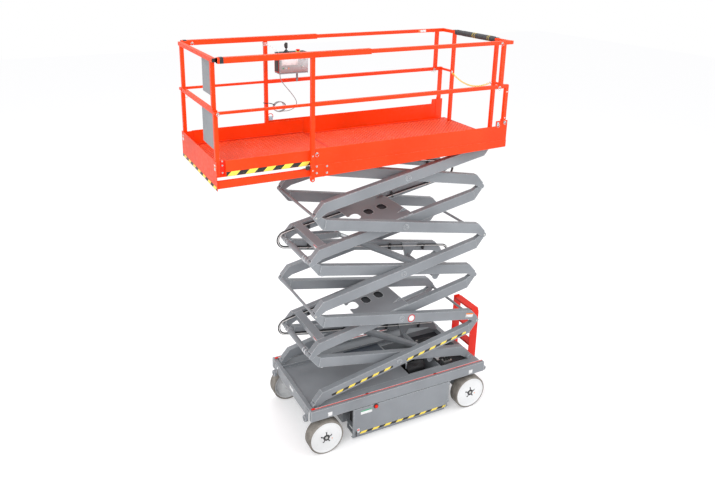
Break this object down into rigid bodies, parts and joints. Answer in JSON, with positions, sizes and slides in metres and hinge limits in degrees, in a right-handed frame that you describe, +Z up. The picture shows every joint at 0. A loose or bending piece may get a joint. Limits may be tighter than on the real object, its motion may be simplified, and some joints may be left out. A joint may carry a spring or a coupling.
{
  "type": "scissor lift",
  "caption": "Electric slab scissor lift with a raised pantograph mast, railed work platform, sliding deck extension, steered wheels and swing-out trays.",
  "frame": {"origin": "on the floor under the middle of the overall length and width", "axes": "+X towards the ladder end, -X towards the steered end and deck extension, +Z up"},
  "size_m": [3.284, 1.232, 4.359],
  "materials": {
    "orange_paint": "gloss",
    "grey_paint": "satin",
    "red_paint": "gloss",
    "tyre_rubber": "matt",
    "white_paint": "gloss",
    "black_paint": "satin",
    "steel": "bright",
    "black_plastic": "matt",
    "cable_sheath": "matt"
  },
  "bodies": {
    "outer_1": {"outer_arms_1": "grey_paint"},
    "inner_1": {"inner_arms_1": "grey_paint"},
    "outer_2": {"outer_arms_2": "grey_paint"},
    "inner_2": {"inner_arms_2": "grey_paint"},
    "outer_3": {"outer_arms_3": "grey_paint"},
    "inner_3": {"inner_arms_3": "grey_paint"},
    "outer_4": {"outer_arms_4": "grey_paint"},
    "inner_4": {"inner_arms_4": "grey_paint"},
    "outer_5": {"outer_arms_5": "grey_paint"},
    "inner_5": {"inner_arms_5": "grey_paint"},
    "lower_barrel": {"lower_cylinder_barrel": "grey_paint"},
    "lower_rod": {"lower_cylinder_rod": "steel"},
    "upper_barrel": {"upper_cylinder_barrel": "grey_paint"},
    "upper_rod": {"upper_cylinder_rod": "steel"},
    "left_knuckle": {"left_knuckle": "grey_paint"},
    "right_knuckle": {"right_knuckle": "grey_paint"},
    "tie_rod": {"tie_rod": "steel"},
    "front_left_wheel": {"front_left_tyre": "tyre_rubber", "front_left_rim": "white_paint"},
    "front_right_wheel": {"front_right_tyre": "tyre_rubber", "front_right_rim": "white_paint"},
    "rear_left_wheel": {"rear_left_tyre": "tyre_rubber", "rear_left_rim": "white_paint"},
    "rear_right_wheel": {"rear_right_tyre": "tyre_rubber", "rear_right_rim": "white_paint"},
    "left_tray": {"left_tray": "grey_paint", "battery_pack": "black_plastic"},
    "right_tray": {"right_tray": "grey_paint", "hydraulic_tank": "black_paint"},
    "left_guard": {"left_pothole_guard": "grey_paint"},
    "right_guard": {"right_pothole_guard": "grey_paint"},
    "base": {"base_cover": "grey_paint", "base_trim": "white_paint", "belly_well": "grey_paint", "front_axle_beam": "grey_paint", "front_cross_beam": "grey_paint", "front_tie_downs": "grey_paint", "ladder": "red_paint", "left_side_beam": "grey_paint", "pump_and_motor": "black_paint", "rear_axle": "grey_paint", "rear_cross_beam": "grey_paint", "rear_tie_downs": "grey_paint", "right_side_beam": "grey_paint"},
    "extension": {"extension_deck": "orange_paint", "extension_front_rail": "orange_paint", "extension_left_mid_rail": "orange_paint", "extension_left_top_rail": "orange_paint", "extension_right_mid_rail": "orange_paint", "extension_right_top_rail": "orange_paint", "front_panels": "grey_paint"},
    "platform": {"control_box": "grey_paint", "control_coil": "cable_sheath", "control_lead": "cable_sheath", "deck": "orange_paint", "entry_bar": "black_plastic", "entry_posts": "orange_paint", "left_rails": "orange_paint", "right_rails": "orange_paint"}
  },
  "joints": [
    {"name": "lift", "type": "hinge", "parent": "base", "child": "outer_1", "pos_m": [-0.638, 0, 0.5655], "axis": [0, -1, 0], "range_deg": [-10.86, 44.1]},
    {"name": "centre_1", "type": "hinge", "parent": "outer_1", "child": "inner_1", "pos_m": [0.397, 0, 0.8355], "axis": [0, -1, 0], "range_deg": [-88.2, 21.72]},
    {"name": "end_1", "type": "hinge", "parent": "outer_1", "child": "outer_2", "pos_m": [1.432, 0, 1.1055], "axis": [0, -1, 0], "range_deg": [-88.2, 21.72]},
    {"name": "centre_2", "type": "hinge", "parent": "outer_2", "child": "inner_2", "pos_m": [0.397, 0, 1.3755], "axis": [0, -1, 0], "range_deg": [-21.72, 88.2]},
    {"name": "end_2", "type": "hinge", "parent": "outer_2", "child": "outer_3", "pos_m": [-0.638, 0, 1.6455], "axis": [0, -1, 0], "range_deg": [-21.72, 88.2]},
    {"name": "centre_3", "type": "hinge", "parent": "outer_3", "child": "inner_3", "pos_m": [0.397, 0, 1.9155], "axis": [0, -1, 0], "range_deg": [-88.2, 21.72]},
    {"name": "end_3", "type": "hinge", "parent": "outer_3", "child": "outer_4", "pos_m": [1.432, 0, 2.1855], "axis": [0, -1, 0], "range_deg": [-88.2, 21.72]},
    {"name": "centre_4", "type": "hinge", "parent": "outer_4", "child": "inner_4", "pos_m": [0.397, 0, 2.4555], "axis": [0, -1, 0], "range_deg": [-21.72, 88.2]},
    {"name": "end_4", "type": "hinge", "parent": "outer_4", "child": "outer_5", "pos_m": [-0.638, 0, 2.7255], "axis": [0, -1, 0], "range_deg": [-21.72, 88.2]},
    {"name": "centre_5", "type": "hinge", "parent": "outer_5", "child": "inner_5", "pos_m": [0.397, 0, 2.9955], "axis": [0, -1, 0], "range_deg": [-88.2, 21.72]},
    {"name": "deck_level", "type": "hinge", "parent": "inner_5", "child": "platform", "pos_m": [-0.638, 0, 3.2655], "axis": [0, -1, 0], "range_deg": [-10.86, 44.1]},
    {"name": "lower_barrel_pivot", "type": "hinge", "parent": "inner_1", "child": "lower_barrel", "pos_m": [0.9377, 0, 0.61459], "axis": [0, -1, 0], "range_deg": [-6.62, 1.63]},
    {"name": "lower_rod_slide", "type": "slide", "parent": "lower_barrel", "child": "lower_rod", "axis": [-0.879, 0, 0.4768], "range_m": [-0.14217, 0.57728]},
    {"name": "upper_barrel_pivot", "type": "hinge", "parent": "inner_3", "child": "upper_barrel", "pos_m": [0.9377, 0, 1.69459], "axis": [0, -1, 0], "range_deg": [-6.62, 1.63]},
    {"name": "upper_rod_slide", "type": "slide", "parent": "upper_barrel", "child": "upper_rod", "axis": [-0.879, 0, 0.4768], "range_m": [-0.14217, 0.57728]},
    {"name": "extension_slide", "type": "slide", "parent": "platform", "child": "extension", "axis": [1, 0, 0], "range_m": [0, 0.88]},
    {"name": "left_steer", "type": "hinge", "parent": "base", "child": "left_knuckle", "pos_m": [-0.545, -0.42, 0.203], "axis": [0, 0, 1], "range_deg": [-40, 40]},
    {"name": "right_steer", "type": "hinge", "parent": "base", "child": "right_knuckle", "pos_m": [-0.545, 0.42, 0.203], "axis": [0, 0, 1], "range_deg": [-40, 40]},
    {"name": "tie_rod_pivot", "type": "hinge", "parent": "left_knuckle", "child": "tie_rod", "pos_m": [-0.405, -0.42, 0.162], "axis": [0, 0, 1], "range_deg": [-40, 40]},
    {"name": "front_left_roll", "type": "hinge", "parent": "left_knuckle", "child": "front_left_wheel", "pos_m": [-0.545, -0.5215, 0.203], "axis": [0, 1, 0], "continuous": true},
    {"name": "front_right_roll", "type": "hinge", "parent": "right_knuckle", "child": "front_right_wheel", "pos_m": [-0.545, 0.5215, 0.203], "axis": [0, 1, 0], "continuous": true},
    {"name": "rear_left_roll", "type": "hinge", "parent": "base", "child": "rear_left_wheel", "pos_m": [1.347, -0.5215, 0.203], "axis": [0, 1, 0], "continuous": true},
    {"name": "rear_right_roll", "type": "hinge", "parent": "base", "child": "rear_right_wheel", "pos_m": [1.347, 0.5215, 0.203], "axis": [0, 1, 0], "continuous": true},
    {"name": "left_tray_swing", "type": "hinge", "parent": "base", "child": "left_tray", "pos_m": [1.05, -0.55, 0.3], "axis": [0, 0, 1], "range_deg": [0, 85]},
    {"name": "left_guard_lift", "type": "slide", "parent": "base", "child": "left_guard", "axis": [0, 0, 1], "range_m": [0, 0.05]},
    {"name": "right_tray_swing", "type": "hinge", "parent": "base", "child": "right_tray", "pos_m": [1.05, 0.55, 0.3], "axis": [0, 0, -1], "range_deg": [0, 85]},
    {"name": "right_guard_lift", "type": "slide", "parent": "base", "child": "right_guard", "axis": [0, 0, 1], "range_m": [0, 0.05]}
  ],
  "couplings": [
    {"joint": "centre_1", "follows": "lift", "ratio": -2},
    {"joint": "end_1", "follows": "lift", "ratio": -2},
    {"joint": "centre_2", "follows": "lift", "ratio": 2},
    {"joint": "end_2", "follows": "lift", "ratio": 2},
    {"joint": "centre_3", "follows": "lift", "ratio": -2},
    {"joint": "end_3", "follows": "lift", "ratio": -2},
    {"joint": "centre_4", "follows": "lift", "ratio": 2},
    {"joint": "end_4", "follows": "lift", "ratio": 2},
    {"joint": "centre_5", "follows": "lift", "ratio": -2},
    {"joint": "deck_level", "follows": "lift", "ratio": 1},
    {"joint": "lower_barrel_pivot", "follows": "lift", "ratio": -0.15},
    {"joint": "lower_rod_slide", "follows": "lift", "m_per_rad": 0.75},
    {"joint": "upper_barrel_pivot", "follows": "lift", "ratio": -0.15},
    {"joint": "upper_rod_slide", "follows": "lift", "m_per_rad": 0.75},
    {"joint": "right_steer", "follows": "left_steer", "ratio": 1},
    {"joint": "tie_rod_pivot", "follows": "left_steer", "ratio": -1}
  ]
}
